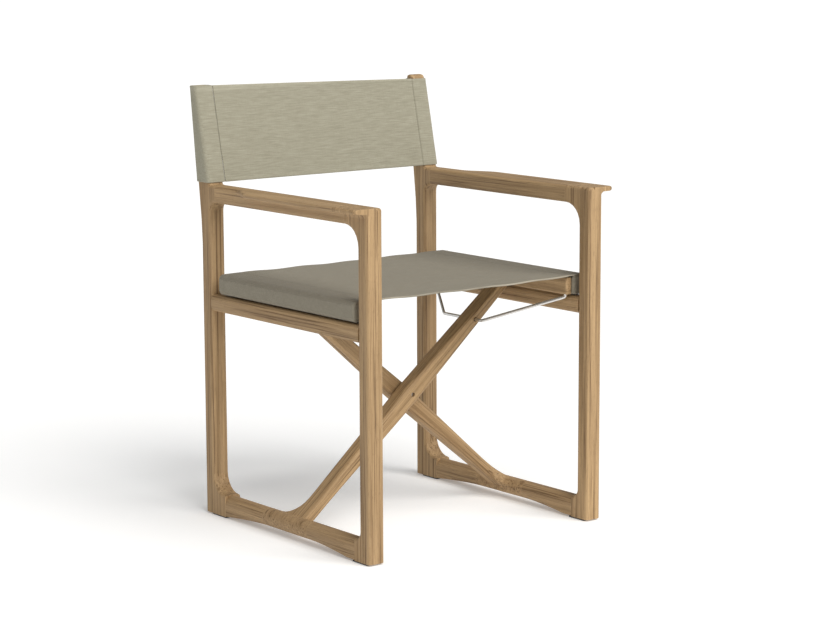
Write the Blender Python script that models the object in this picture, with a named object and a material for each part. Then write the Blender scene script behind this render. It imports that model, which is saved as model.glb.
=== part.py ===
"""Folding director's chair in teak with fabric slings, modelled in metres.

+Z is up, +X is the sitter's left and the chair faces -Y.  The origin is on the floor, at the middle of the
chair's box.  Two side frames stand on one pair of crossed legs.  Each crossed leg has a T-shaped foot that
turns on an axle in its frame's floor runner, and carries the opposite seat bar at its top, so the chair folds
sideways about the centre pin.
"""

import math

import bmesh
import bpy
from mathutils import Matrix, Vector

# Side frame
LEG_WIDTH = 0.035
LEG_DEPTH = 0.030
FRAME_OUTER = 0.2812
FRAME_INNER = FRAME_OUTER - LEG_WIDTH
FRAME_MID = FRAME_OUTER - LEG_WIDTH / 2
FRAME_DEPTH = 0.5332
POST_OVERHANG = 0.030
POCKET_PROUD = 0.0019
SEAT_MID_Y = -(POST_OVERHANG + POCKET_PROUD) / 2
FRONT_FACE = SEAT_MID_Y - FRAME_DEPTH / 2
REAR_FACE = SEAT_MID_Y + FRAME_DEPTH / 2
FRONT_INSIDE = FRONT_FACE + LEG_DEPTH
REAR_INSIDE = REAR_FACE - LEG_DEPTH
FOOT_Z = 0.003
EDGE = 0.006
GAP = 0.0003
PAST_END = 0.010
THROUGH = (SEAT_MID_Y - 0.06, SEAT_MID_Y + 0.02)

# Arm and its outward lip
ARM_TOP = 0.650
ARM_BOTTOM = 0.617
FRONT_BLOCK = 0.040
REAR_BLOCK = 0.018
LIP_REACH = 0.028
LIP_THICK = 0.009
LIP_COVE = 0.010
LIP_NOSE = 0.008
LIP_ROOT = 0.020
ARM_SIDE_STEP = 0.002
FLARE_START = SEAT_MID_Y + 0.150
FLARE_END = SEAT_MID_Y + 0.072

# Back post above the arm
POST_TOP = 0.838
POST_BEND_Z = 0.560
POST_BEND_RADIUS = 0.45
POST_TOP_DEPTH = 0.0185
POST_FILLET = 0.003
POST_FRONT_FOOT = (REAR_INSIDE + 0.0005, ARM_TOP + 0.001)
POST_FILLET_BACK = 0.010

# Stretcher below the seat
STRETCHER_Z = (0.405, 0.438)
STRETCHER_EDGE = 0.010

# Floor runner
RUNNER_TOP = 0.045
RUNNER_RADIUS = 0.0174
FRONT_BOOT = 0.015
REAR_BOOT = 0.038
ARCH_END = 0.195
ARCH_POWER = 1.6
ARCH_EDGE = 0.005
SLEEVE_HALF = 0.0717
AXLE_RADIUS = 0.006
AXLE_HALF = 0.112
BORE_SPARE = 0.002
BUSH_RADIUS = 0.008
BUSH_LENGTH = 0.020
PIVOT_Z = 0.026
GLIDE_WIDTH = 0.031
GLIDE_EDGE = 0.0008
GLIDE_FRONT = (FRONT_FACE + 0.010, FRONT_FACE + 0.054)
GLIDE_REAR = (REAR_FACE - 0.066, REAR_FACE - 0.020)

# Crossed legs
CROSS_ANGLE = math.radians(40)
CROSS_HALF = FRAME_MID / math.cos(CROSS_ANGLE)
CROSS_DEPTH = 0.036
CROSS_SPACE = 0.002
CROSS_THICK = 0.038
CROSS_THIN = 0.023
CROSS_THIN_AT = 0.268
CROSS_EDGE = 0.009
FOOT_FILLET = 0.042
FOOT_TOE = 0.004
FOOT_SUNK = 0.0015
LEG_OVERRUN = 0.030
CUT_LIMIT_X = 0.40
CUT_LIMIT_Z = 0.60
CUT_FROM_Z = 0.30
PIN_RADIUS = 0.004
PIN_HALF = 0.033
WASHER_RADIUS = 0.011

# Seat bar, batten, casing and sling
BAR_X = (0.230, 0.2445)
BAR_Z = (0.441, 0.4755)
BAR_Y = (SEAT_MID_Y - 0.222, SEAT_MID_Y + 0.208)
BAR_EDGE = 0.004
SEAT_TOP = 0.480
CLOTH = 0.0022
CASING_X = (BAR_X[1] + GAP, 0.2808)
CASING_Z = (0.4406, SEAT_TOP)
CASING_EDGE = 0.010
SLING_Y = (SEAT_MID_Y - 0.228, SEAT_MID_Y + 0.210)
SLING_THICK = 0.003
SCREW_YS = (SEAT_MID_Y + 0.050, SEAT_MID_Y + 0.150)
SCREW_RADIUS = 0.0025
SCREW_HEAD = 0.0045
SCREW_TIP_X = 0.262
SCREW_SUNK = 0.0003
SCREW_RIM = 0.0010
SCREW_CUT = 0.002
BATTEN_SHORT = 0.002
BATTEN_EDGE = 0.006
HOLLOW_EDGE = 0.005
SLING_EDGE = 0.001

# Brace rods
BRACE_AT = 0.548
BRACE_RADIUS = 0.0032
BRACE_BORE = 0.0045
BRACE_MID_Y = (SEAT_MID_Y - 0.058, SEAT_MID_Y + 0.060)
BRACE_END_Y = (SEAT_MID_Y - 0.2115, SEAT_MID_Y + 0.1975)
BRACE_CORNER_Z = 0.4365
BRACE_TIP_Z = 0.456
BRACE_BEND = 0.011
BRACE_KNEE = BRACE_RADIUS + 0.0005

# Back sling
BACK_Z = (0.655, 0.830)
BACK_SET = -0.0020

ARC_STEP = math.radians(15)
SHARP_ANGLE = math.radians(30)
SAME_PLACE = 1e-6
ROUND_SIDES = 24
SMALL_SIDES = 12


# Outlines and solids

def rounded(corners):
    """The outline through corners (place..., radius), with each radius drawn as an arc in even steps."""
    points = []
    for i, (*corner, radius) in enumerate(corners):
        here = Vector(corner)
        if not radius:
            points.append(here)
            continue
        back = (Vector(corners[i - 1][:-1]) - here).normalized()
        ahead = (Vector(corners[(i + 1) % len(corners)][:-1]) - here).normalized()
        turn = math.pi - back.angle(ahead)
        centre = here + (back + ahead).normalized() * radius / math.cos(turn / 2)
        start = here + back * radius * math.tan(turn / 2) - centre
        end = here + ahead * radius * math.tan(turn / 2) - centre
        steps = math.ceil(turn / ARC_STEP)
        for k in range(steps + 1):
            angle = turn * k / steps
            swung = start * math.sin(turn - angle) + end * math.sin(angle)
            points.append(centre + swung / math.sin(turn))
    return [p for k, p in enumerate(points) if (p - points[k - 1]).length > SAME_PLACE]


def arc(centre, radius, first, last, steps):
    """Points on an arc, from the first to the last angle in degrees."""
    points = []
    for k in range(steps + 1):
        angle = math.radians(first + (last - first) * k / steps)
        points.append(Vector((centre[0] + radius * math.cos(angle), centre[1] + radius * math.sin(angle))))
    return points


def loft(sections, ring=False):
    """A solid through sections with equal numbers of points; a ring joins its last section to its first."""
    bm = bmesh.new()
    loops = [[bm.verts.new(point) for point in section] for section in sections]
    count = len(loops[0])
    pairs = list(zip(loops, loops[1:])) + ([(loops[-1], loops[0])] if ring else [])
    for low, high in pairs:
        for k in range(count):
            bm.faces.new((low[k - 1], low[k], high[k], high[k - 1]))
    if not ring:
        bm.faces.new(loops[0])
        bm.faces.new(loops[-1])
    bmesh.ops.recalc_face_normals(bm, faces=bm.faces)
    return bm


def slab(outline, depth, axes, edge=0.0, joints=(), segments=3):
    """A bar of flat outline (a, b) and depth c, where axes names the world axes of a, b and c.

    Every sharp edge is rounded to the radius edge, except those in one of the joint planes (axis, value).
    """
    index = ["xyz".index(axis) for axis in axes]
    sections = []
    for c in depth:
        section = []
        for point in outline:
            spot = [0.0, 0.0, 0.0]
            for axis, value in zip(index, (point[0], point[1], c)):
                spot[axis] = value
            section.append(spot)
        sections.append(section)
    bm = loft(sections)
    if edge:
        planes = [("xyz".index(axis), value) for axis, value in joints]
        chosen = [e for e in bm.edges if e.calc_face_angle() > SHARP_ANGLE and not in_joint(e, planes)]
        bmesh.ops.bevel(bm, geom=chosen, offset=edge, segments=segments, profile=0.5, affect="EDGES")
    return bm


def in_joint(mesh_edge, planes):
    """True where an edge lies in one of the joint planes."""
    return any(
        all(abs(vert.co[axis] - value) < SAME_PLACE for vert in mesh_edge.verts) for axis, value in planes
    )


def box(x, y, z, edge=0.0, joints=()):
    """A block between the given limits."""
    outline = [(x[0], z[0]), (x[1], z[0]), (x[1], z[1]), (x[0], z[1])]
    return slab(outline, y, "xzy", edge, joints)


def turned(profile, centre, ring=False, along="y", sides=ROUND_SIDES):
    """A turned solid of (distance along its axis, radius) points, about an axis through centre."""
    sections = []
    for distance, radius in profile:
        circle = []
        for k in range(sides):
            angle = math.tau * (k + 0.5) / sides
            across = (radius * math.cos(angle), radius * math.sin(angle))
            offset = (across[0], distance, across[1]) if along == "y" else (distance, across[0], across[1])
            circle.append(Vector(centre) + Vector(offset))
        sections.append(circle)
    return loft(sections, ring)


def mesh_object(name, bm):
    """A new object in the scene that holds the mesh."""
    mesh = bpy.data.meshes.new(name)
    bm.to_mesh(mesh)
    bm.free()
    made = bpy.data.objects.new(name, mesh)
    bpy.context.scene.collection.objects.link(made)
    return made


def evaluated(made):
    """The object's evaluated shape as a bmesh; the object is removed."""
    bpy.context.view_layer.update()
    shape = bpy.data.meshes.new_from_object(made.evaluated_get(bpy.context.evaluated_depsgraph_get()))
    bpy.data.objects.remove(made)
    bm = bmesh.new()
    bm.from_mesh(shape)
    bpy.data.meshes.remove(shape)
    return bm


def combine(base, tool, operation):
    """The boolean of two solids."""
    target = mesh_object("target", base)
    other = mesh_object("other", tool)
    boolean = target.modifiers.new("boolean", "BOOLEAN")
    boolean.operation = operation
    boolean.solver = "EXACT"
    boolean.object = other
    result = evaluated(target)
    bpy.data.objects.remove(other)
    bmesh.ops.remove_doubles(result, verts=result.verts, dist=SAME_PLACE)
    return result


# Materials, axes and placing

def material(name, colour, roughness, metallic=0.0):
    made = bpy.data.materials.new(name)
    made.use_nodes = True
    shader = made.node_tree.nodes["Principled BSDF"]
    shader.inputs["Base Color"].default_value = (*colour, 1.0)
    shader.inputs["Roughness"].default_value = roughness
    shader.inputs["Metallic"].default_value = metallic
    return made


def axis_empty(name, place):
    """An empty on a joint's axis, which a moving body's pieces are parented to."""
    empty = bpy.data.objects.new(name, None)
    empty.location = place
    bpy.context.scene.collection.objects.link(empty)
    return empty


def place(name, bm, finish, parent):
    """The finished piece, with its faces pointing out, parented to its body's axis."""
    bmesh.ops.recalc_face_normals(bm, faces=bm.faces)
    piece = mesh_object(name, bm)
    piece.data.shade_smooth()
    piece.data.set_sharp_from_angle(angle=SHARP_ANGLE)
    piece.data.materials.append(finish)
    piece.parent = parent
    piece.matrix_parent_inverse = Matrix.Translation(-parent.location)


def mirrored(bm):
    """The same shape on the other side of the centre plane."""
    bmesh.ops.scale(bm, vec=(-1, 1, 1), verts=bm.verts)
    return bm


def on_side(bm, side):
    """A shape drawn on the +X side, or its mirror image for the left side."""
    return bm if side == "right" else mirrored(bm)


# Side frame pieces, drawn on the +X side

def lip_edge(shift=0.0):
    """The lip's outer edge from the cove below it to the arm's top, as (offset from the frame's face, z)."""
    lip_radius = LIP_THICK / 2
    tip = LIP_REACH - lip_radius
    cove_centre = (0, ARM_TOP - LIP_THICK - LIP_COVE)
    cove = [Vector((LIP_COVE - p.x, p.y)) for p in arc(cove_centre, LIP_COVE, 0, 90, 4)]
    nose = arc((tip, ARM_TOP - lip_radius), lip_radius, -90, 90, 5)
    return [p + Vector((shift, 0)) for p in cove + nose]


def plain_edge():
    """The same number of points up a plain rounded edge."""
    wall_low = ARM_TOP - LIP_THICK - LIP_COVE
    wall = [Vector((0, wall_low + (ARM_TOP - EDGE - ARM_SIDE_STEP - wall_low) * k / 4)) for k in range(5)]
    return wall + arc((-EDGE, ARM_TOP - EDGE), EDGE, 0, 90, 5)


def arm_section(y):
    """The arm's section at y, which grows from a plain bar to a bar with a lip."""
    share = min(1.0, max(0.0, (FLARE_START - y) / (FLARE_START - FLARE_END)))
    share = share * share * (3 - 2 * share)
    outer = [plain.lerp(lip, share) for plain, lip in zip(plain_edge(), lip_edge())]
    inner = -LEG_WIDTH + EDGE
    section = arc((inner, ARM_BOTTOM + EDGE), EDGE, 180, 270, 3)
    section += arc((-EDGE, ARM_BOTTOM + EDGE), EDGE, 270, 360, 3)
    section += outer
    section += arc((inner, ARM_TOP - EDGE), EDGE, 90, 180, 3)
    return [(FRAME_OUTER + p.x, y, p.y) for p in section]


def arm():
    flare = [FLARE_START + (FLARE_END - FLARE_START) * k / 8 for k in range(9)]
    stations = [REAR_INSIDE - REAR_BLOCK - GAP, *flare, FRONT_INSIDE + FRONT_BLOCK + GAP]
    return loft([arm_section(y) for y in stations])


def front_lip():
    """The lip over the front leg, with its outer corner rounded in plan."""
    joint = FRONT_INSIDE + FRONT_BLOCK
    angles = [math.radians(90 * k / 4) for k in range(5)]
    stations = [(FRONT_FACE + LIP_NOSE * (1 - math.cos(a)), LIP_NOSE * (math.sin(a) - 1)) for a in angles]
    sections = []
    for y, shift in [*stations, (joint, 0.0)]:
        outline = lip_edge(shift)
        outline.append(Vector((-LIP_ROOT, ARM_TOP)))
        outline.append(Vector((-LIP_ROOT, outline[0].y)))
        sections.append([(FRAME_OUTER + p.x, y, p.y) for p in outline])
    return loft(sections)


def front_leg():
    """The front leg, with its foot and the corner block that carries the arm."""
    boot = FRONT_INSIDE + FRONT_BOOT
    block = FRONT_INSIDE + FRONT_BLOCK
    outline = rounded([
        (FRONT_FACE, FOOT_Z, 0),
        (boot, FOOT_Z, 0),
        (boot, RUNNER_TOP, 0),
        (FRONT_INSIDE, RUNNER_TOP, FRONT_BOOT),
        (FRONT_INSIDE, ARM_BOTTOM, FRONT_BLOCK),
        (block, ARM_BOTTOM, 0),
        (block, ARM_TOP, 0),
        (FRONT_FACE, ARM_TOP, 0),
    ])
    joints = [("y", boot), ("y", block), ("z", FOOT_Z)]
    leg = slab(outline, (FRAME_INNER, FRAME_OUTER), "yzx", EDGE, joints)
    return combine(leg, front_lip(), "UNION")


def post_front_y(z):
    """The back post's front edge at a height."""
    top = REAR_FACE + POST_OVERHANG - POST_TOP_DEPTH
    share = (z - POST_FRONT_FOOT[1]) / (POST_TOP - POST_FRONT_FOOT[1])
    return POST_FRONT_FOOT[0] + (top - POST_FRONT_FOOT[0]) * share


def post_rear_y(z):
    """The back post's rear edge at a height above its bend."""
    return REAR_FACE + POST_OVERHANG * (z - POST_BEND_Z) / (POST_TOP - POST_BEND_Z)


def rear_leg():
    """The rear leg, which runs on above the arm as the leaning, tapered back post."""
    boot = REAR_INSIDE - REAR_BOOT
    block = REAR_INSIDE - REAR_BLOCK
    outline = rounded([
        (boot, FOOT_Z, 0),
        (REAR_FACE, FOOT_Z, 0),
        (REAR_FACE, POST_BEND_Z, POST_BEND_RADIUS),
        (post_rear_y(POST_TOP), POST_TOP, 0),
        (post_front_y(POST_TOP), POST_TOP, 0),
        (*POST_FRONT_FOOT, POST_FILLET),
        (REAR_INSIDE - POST_FILLET_BACK, ARM_TOP, 0),
        (block, ARM_TOP, 0),
        (block, ARM_BOTTOM, 0),
        (REAR_INSIDE, ARM_BOTTOM, REAR_BLOCK),
        (REAR_INSIDE, RUNNER_TOP, REAR_BOOT),
        (boot, RUNNER_TOP, 0),
    ])
    joints = [("y", boot), ("y", block), ("z", FOOT_Z)]
    return slab(outline, (FRAME_INNER, FRAME_OUTER), "yzx", EDGE, joints)


def stretcher():
    """The bar between the legs that the seat bar rests above."""
    ends = (FRONT_INSIDE + GAP, REAR_INSIDE - GAP)
    joints = [("y", y) for y in ends]
    return box((FRAME_INNER, FRAME_OUTER), ends, STRETCHER_Z, STRETCHER_EDGE, joints)


def runner_section(y):
    """The runner's section at y: round on top, and below it square at the foot and round at the sleeve."""
    share = min(1.0, max(0.0, (abs(y - SEAT_MID_Y) - SLEEVE_HALF) / (ARCH_END - SLEEVE_HALF)))
    share = share ** ARCH_POWER
    bottom = PIVOT_Z - RUNNER_RADIUS + (FOOT_Z - PIVOT_Z + RUNNER_RADIUS) * share
    edge = RUNNER_RADIUS - GAP + (ARCH_EDGE - RUNNER_RADIUS) * share
    section = arc((0, PIVOT_Z), RUNNER_RADIUS, 0, 180, 12)
    section += arc((edge - RUNNER_RADIUS, bottom + edge), edge, 180, 270, 5)
    section += arc((RUNNER_RADIUS - edge, bottom + edge), edge, 270, 360, 5)
    return [(FRAME_MID + p.x, y, p.y) for p in section]


def runner_end(side, joint_y):
    """One end of the floor runner, arched up from its foot, with a blind bore for the axle."""
    sleeve_y = SEAT_MID_Y + side * (SLEEVE_HALF + GAP)
    arch_y = SEAT_MID_Y + side * ARCH_END
    stations = [sleeve_y + (arch_y - sleeve_y) * k / 8 for k in range(9)] + [joint_y]
    bore = (sleeve_y - side * PAST_END, SEAT_MID_Y + side * (AXLE_HALF + BORE_SPARE))
    solid = loft([runner_section(y) for y in stations])
    return combine(solid, rod(AXLE_RADIUS + GAP, bore, (FRAME_MID, 0, PIVOT_Z)), "DIFFERENCE")


def bush(side):
    """A plain bush in one end of a crossed leg's foot, round the axle."""
    outer = SEAT_MID_Y + side * (SLEEVE_HALF - GAP)
    inner = SEAT_MID_Y + side * (SLEEVE_HALF - BUSH_LENGTH + GAP)
    wall = (AXLE_RADIUS + GAP, BUSH_RADIUS)
    profile = [(inner, wall[0]), (outer, wall[0]), (outer, wall[1]), (inner, wall[1])]
    return turned(profile, (FRAME_MID, 0, PIVOT_Z), ring=True)


def rod(radius, ends, centre, along="y"):
    """A plain round rod."""
    return turned([(ends[0], radius), (ends[1], radius)], centre, along=along)


def glide(ends):
    """A thin plastic glide under a foot."""
    half = GLIDE_WIDTH / 2
    return box((FRAME_MID - half, FRAME_MID + half), ends, (0.0, FOOT_Z - GAP), GLIDE_EDGE)


# Crossed legs

def leg_place():
    """From a leg's own axes (x along it, z across it) to its place, with its foot on the -X runner."""
    return Matrix.Translation((-FRAME_MID, 0, PIVOT_Z)) @ Matrix.Rotation(-CROSS_ANGLE, 4, "Y")


def leg_thickness(along):
    """The leg is thickest at the centre pin and tapers both ways."""
    share = min(1.0, abs(along - CROSS_HALF) / CROSS_THIN_AT)
    return CROSS_THICK + (CROSS_THIN - CROSS_THICK) * share


def leg_blank():
    """The leg's bar with the fillet of its foot, before it meets the sleeve."""
    near = SEAT_MID_Y - CROSS_SPACE - CROSS_DEPTH
    far = SEAT_MID_Y - CROSS_SPACE
    top = 2 * CROSS_HALF + LEG_OVERRUN
    changes = (CROSS_HALF - CROSS_THIN_AT, CROSS_HALF, CROSS_HALF + CROSS_THIN_AT)
    fillet_u = RUNNER_RADIUS - FOOT_SUNK
    toe = far + FOOT_FILLET + FOOT_TOE
    outline = rounded([
        (near, 0.0, 0),
        (near, top, 0),
        (far, top, 0),
        (far, fillet_u, FOOT_FILLET),
        (toe, fillet_u, 0),
        (toe, 0.0, 0),
    ])
    joints = [("x", 0.0), ("x", top)]
    bm = slab(outline, (-CROSS_THICK / 2, CROSS_THICK / 2), "yxz", CROSS_EDGE, joints, 4)
    for u in changes:
        everything = [*bm.verts, *bm.edges, *bm.faces]
        bmesh.ops.bisect_plane(bm, geom=everything, plane_co=(u, 0, 0), plane_no=(1, 0, 0), dist=SAME_PLACE)
    for vert in bm.verts:
        vert.co.z *= leg_thickness(vert.co.x) / CROSS_THICK
    bmesh.ops.transform(bm, matrix=leg_place(), verts=bm.verts)
    return bm


def sleeve():
    return rod(RUNNER_RADIUS, (SEAT_MID_Y - SLEEVE_HALF, SEAT_MID_Y + SLEEVE_HALF), (-FRAME_MID, 0, PIVOT_Z))


def sleeve_bore():
    """The axle's bore, with a wider seat for a bush at each end."""
    narrow = AXLE_RADIUS + GAP
    wide = BUSH_RADIUS + GAP
    seat = SLEEVE_HALF - BUSH_LENGTH
    steps = [(-SLEEVE_HALF - PAST_END, wide), (-seat, wide), (-seat, narrow)]
    profile = steps + [(-y, radius) for y, radius in reversed(steps)]
    return turned([(SEAT_MID_Y + y, radius) for y, radius in profile], (-FRAME_MID, 0, PIVOT_Z))


def along_leg(distance):
    """A point of the leg's centre line, in the front view."""
    return leg_place() @ Vector((distance, 0, 0))


def cross_leg():
    """The leg that stands on the -X runner, in front, and holds the +X seat bar in a rebate at its top."""
    bm = combine(leg_blank(), sleeve(), "UNION")
    bm = combine(bm, sleeve_bore(), "DIFFERENCE")
    bm = combine(bm, rod(PIN_RADIUS + GAP, THROUGH, along_leg(CROSS_HALF)), "DIFFERENCE")
    bm = combine(bm, rod(BRACE_BORE, THROUGH, along_leg(BRACE_AT)), "DIFFERENCE")
    beyond = box((BAR_X[1], CUT_LIMIT_X), THROUGH, (CUT_FROM_Z, CUT_LIMIT_Z))
    bm = combine(bm, beyond, "DIFFERENCE")
    rebate = box((BAR_X[0] - GAP, CUT_LIMIT_X), THROUGH, (BAR_Z[0] - GAP, CUT_LIMIT_Z))
    return combine(bm, rebate, "DIFFERENCE")


def turned_about_centre(bm):
    """The shape after half a turn about the upright line through the centre pin."""
    bmesh.ops.rotate(bm, cent=(0, SEAT_MID_Y, 0), matrix=Matrix.Rotation(math.pi, 3, "Z"), verts=bm.verts)
    return bm


# Seat and back, drawn on the +X side

def seat_bar():
    """The wooden bar on a crossed leg's top, with holes for the brace's ends and the batten's screws."""
    bm = box(BAR_X, BAR_Y, BAR_Z, BAR_EDGE)
    for y in BRACE_END_Y:
        hole = [(BAR_Z[0] - PAST_END, BRACE_RADIUS + 2 * GAP), (BRACE_TIP_Z + GAP, BRACE_RADIUS + 2 * GAP)]
        bm = combine(bm, upright(hole, (sum(BAR_X) / 2, y)), "DIFFERENCE")
    for y in SCREW_YS:
        bm = combine(bm, screw(y, GAP), "DIFFERENCE")
    return bm


def upright(profile, centre):
    """A turned solid about an upright axis, from (z, radius) points."""
    sections = []
    for z, radius in profile:
        angles = [math.tau * (k + 0.5) / SMALL_SIDES for k in range(SMALL_SIDES)]
        sections.append([
            (centre[0] + radius * math.cos(a), centre[1] + radius * math.sin(a), z) for a in angles
        ])
    return loft(sections)


def screw(y, clearance=0.0):
    """A countersunk screw through the seat bar into the batten, grown by a clearance where it cuts."""
    head = SCREW_HEAD + clearance
    shank = SCREW_RADIUS + clearance
    start = BAR_X[0] + SCREW_SUNK - (SCREW_CUT if clearance else 0.0)
    cone = BAR_X[0] + SCREW_RIM
    profile = [(start, head), (cone, head), (cone + head - shank, shank), (SCREW_TIP_X + clearance, shank)]
    return turned(profile, (0, y, sum(BAR_Z) / 2), along="x", sides=SMALL_SIDES)


def batten():
    """The wooden batten that fills the seat sling's casing."""
    x = (CASING_X[0] + CLOTH + GAP, CASING_X[1] - CLOTH - GAP)
    z = (CASING_Z[0] + CLOTH + GAP, CASING_Z[1] - CLOTH - GAP)
    y = (BAR_Y[0] + BATTEN_SHORT, BAR_Y[1] - BATTEN_SHORT)
    bm = box(x, y, z, BATTEN_EDGE)
    for screw_y in SCREW_YS:
        bm = combine(bm, screw(screw_y, GAP), "DIFFERENCE")
    return bm


def casing():
    """The sling's sewn casing, wrapped round the batten above the stretcher."""
    bm = box(CASING_X, BAR_Y, CASING_Z, CASING_EDGE, [("y", y) for y in BAR_Y])
    hollow_x = (CASING_X[0] + CLOTH, CASING_X[1] - CLOTH)
    hollow_z = (CASING_Z[0] + CLOTH, CASING_Z[1] - CLOTH)
    ends = (BAR_Y[0] - PAST_END, BAR_Y[1] + PAST_END)
    hollow = box(hollow_x, ends, hollow_z, HOLLOW_EDGE, [("y", y) for y in ends])
    bm = combine(bm, hollow, "DIFFERENCE")
    for y in SCREW_YS:
        bm = combine(bm, screw(y, GAP), "DIFFERENCE")
    return bm


def seat_sling():
    """The flat seat, stretched over both seat bars from casing to casing."""
    half = CASING_X[0] - GAP
    return box((-half, half), SLING_Y, (SEAT_TOP - SLING_THICK, SEAT_TOP), SLING_EDGE)


def brace():
    """The bent steel rod through a crossed leg, up into both ends of its seat bar."""
    start = along_leg(BRACE_AT)
    bar_x = sum(BAR_X) / 2
    corners = [
        (bar_x, BRACE_END_Y[0], BRACE_TIP_Z, 0),
        (bar_x, BRACE_END_Y[0], BRACE_CORNER_Z, BRACE_KNEE),
        (start.x, BRACE_MID_Y[0], start.z, BRACE_BEND),
        (start.x, BRACE_MID_Y[1], start.z, BRACE_BEND),
        (bar_x, BRACE_END_Y[1], BRACE_CORNER_Z, BRACE_KNEE),
        (bar_x, BRACE_END_Y[1], BRACE_TIP_Z, 0),
    ]
    curve = bpy.data.curves.new("brace", "CURVE")
    curve.dimensions = "3D"
    curve.bevel_depth = BRACE_RADIUS
    curve.bevel_resolution = 3
    curve.use_fill_caps = True
    route = rounded(corners)
    spline = curve.splines.new("POLY")
    spline.points.add(len(route) - 1)
    for spline_point, place_on_route in zip(spline.points, route):
        spline_point.co = (*place_on_route, 1.0)
    made = bpy.data.objects.new("brace", curve)
    bpy.context.scene.collection.objects.link(made)
    bm = evaluated(made)
    bmesh.ops.remove_doubles(bm, verts=bm.verts, dist=SAME_PLACE)
    return bm


def post_wrap(margin, side_margin, z):
    """A solid round the back post, wider than it by the margins."""
    outline = [
        (post_rear_y(z[0]) + margin, z[0]),
        (post_rear_y(z[1]) + margin, z[1]),
        (post_front_y(z[1]) - margin, z[1]),
        (post_front_y(z[0]) - margin, z[0]),
    ]
    width = (FRAME_INNER - side_margin, FRAME_OUTER + side_margin)
    return slab(outline, width, "yzx", EDGE, [("z", value) for value in z])


def back_pocket():
    """The back sling's pocket, slipped over the post."""
    clear = 2 * GAP
    outer = post_wrap(clear + CLOTH, clear + CLOTH, BACK_Z)
    inner = post_wrap(clear, clear, (BACK_Z[0] - PAST_END, BACK_Z[1] + PAST_END))
    return combine(outer, inner, "DIFFERENCE")


def back_panel():
    """The flat back between the two pockets, level with their fronts."""
    half = FRAME_INNER - 3 * GAP - CLOTH
    outline = []
    for depth, z in ((0.0, BACK_Z[0]), (SLING_THICK, BACK_Z[0]), (SLING_THICK, BACK_Z[1]), (0.0, BACK_Z[1])):
        outline.append((post_front_y(z) + BACK_SET + depth, z))
    return slab(outline, (-half, half), "yzx", SLING_EDGE)


# Assembly

def build_frame(side, parent, finish):
    """One side frame: legs, arm, stretcher, runner, axle and glides."""
    front_joint = FRONT_INSIDE + FRONT_BOOT + GAP
    axle_ends = (SEAT_MID_Y - AXLE_HALF, SEAT_MID_Y + AXLE_HALF)
    rear_joint = REAR_INSIDE - REAR_BOOT - GAP
    pieces = {
        "front_leg": (front_leg(), "teak"),
        "rear_leg": (rear_leg(), "teak"),
        "arm": (arm(), "teak"),
        "stretcher": (stretcher(), "teak"),
        "runner_front": (runner_end(-1, front_joint), "teak"),
        "runner_rear": (runner_end(1, rear_joint), "teak"),
        "axle": (rod(AXLE_RADIUS, axle_ends, (FRAME_MID, 0, PIVOT_Z)), "steel"),
        "glide_front": (glide(GLIDE_FRONT), "glide"),
        "glide_rear": (glide(GLIDE_REAR), "glide"),
        "back_pocket": (back_pocket(), "back_fabric"),
    }
    for name, (bm, slot) in pieces.items():
        place(f"{name}_{side}", on_side(bm, side), finish[slot], parent)


def build_seat_side(side, parent, finish):
    """What a crossed leg carries at its top: seat bar, batten, casing, screws and brace."""
    pieces = {
        "seat_bar": (seat_bar(), "teak"),
        "seat_batten": (batten(), "teak"),
        "seat_casing": (casing(), "seat_fabric"),
        "batten_screw_front": (screw(SCREW_YS[0]), "steel"),
        "batten_screw_rear": (screw(SCREW_YS[1]), "steel"),
        "brace_rod": (brace(), "steel"),
    }
    for name, (bm, slot) in pieces.items():
        place(f"{name}_{side}", on_side(bm, side), finish[slot], parent)


def build_chair():
    for old in list(bpy.data.objects):
        bpy.data.objects.remove(old)
    finish = {
        "teak": material("teak", (0.42, 0.27, 0.14), 0.55),
        "seat_fabric": material("seat_fabric", (0.25, 0.235, 0.20), 0.9),
        "back_fabric": material("back_fabric", (0.42, 0.41, 0.33), 0.9),
        "steel": material("steel", (0.62, 0.62, 0.62), 0.3, 1.0),
        "nylon": material("nylon", (0.75, 0.74, 0.70), 0.5),
        "glide": material("glide", (0.02, 0.02, 0.02), 0.5),
    }
    pivot = (SEAT_MID_Y, PIVOT_Z)
    left_frame = axis_empty("left_frame_axis", (-FRAME_MID, *pivot))
    front_cross = axis_empty("front_cross_leg_axis", (-FRAME_MID, *pivot))
    rear_cross = axis_empty("rear_cross_leg_axis", (0, SEAT_MID_Y, along_leg(CROSS_HALF).z))
    right_frame = axis_empty("right_frame_axis", (FRAME_MID, *pivot))

    build_frame("left", left_frame, finish)
    build_frame("right", right_frame, finish)
    build_seat_side("right", front_cross, finish)
    build_seat_side("left", rear_cross, finish)

    place("cross_leg_front", cross_leg(), finish["teak"], front_cross)
    place("cross_leg_rear", turned_about_centre(cross_leg()), finish["teak"], rear_cross)
    for end, side in (("front", -1), ("rear", 1)):
        place(f"bush_{end}_left", mirrored(bush(side)), finish["nylon"], front_cross)
        place(f"bush_{end}_right", bush(side), finish["nylon"], rear_cross)
    centre = (0, 0, along_leg(CROSS_HALF).z)
    pin_ends = (SEAT_MID_Y - PIN_HALF, SEAT_MID_Y + PIN_HALF)
    place("centre_pin", rod(PIN_RADIUS, pin_ends, centre), finish["steel"], front_cross)
    washer_half = CROSS_SPACE - GAP
    near, far = SEAT_MID_Y - washer_half, SEAT_MID_Y + washer_half
    bore = PIN_RADIUS + GAP
    washer = [(near, bore), (far, bore), (far, WASHER_RADIUS), (near, WASHER_RADIUS)]
    place("centre_washer", turned(washer, centre, ring=True), finish["nylon"], front_cross)
    place("seat_sling", seat_sling(), finish["seat_fabric"], front_cross)
    place("back_panel", back_panel(), finish["back_fabric"], left_frame)


build_chair()
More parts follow.
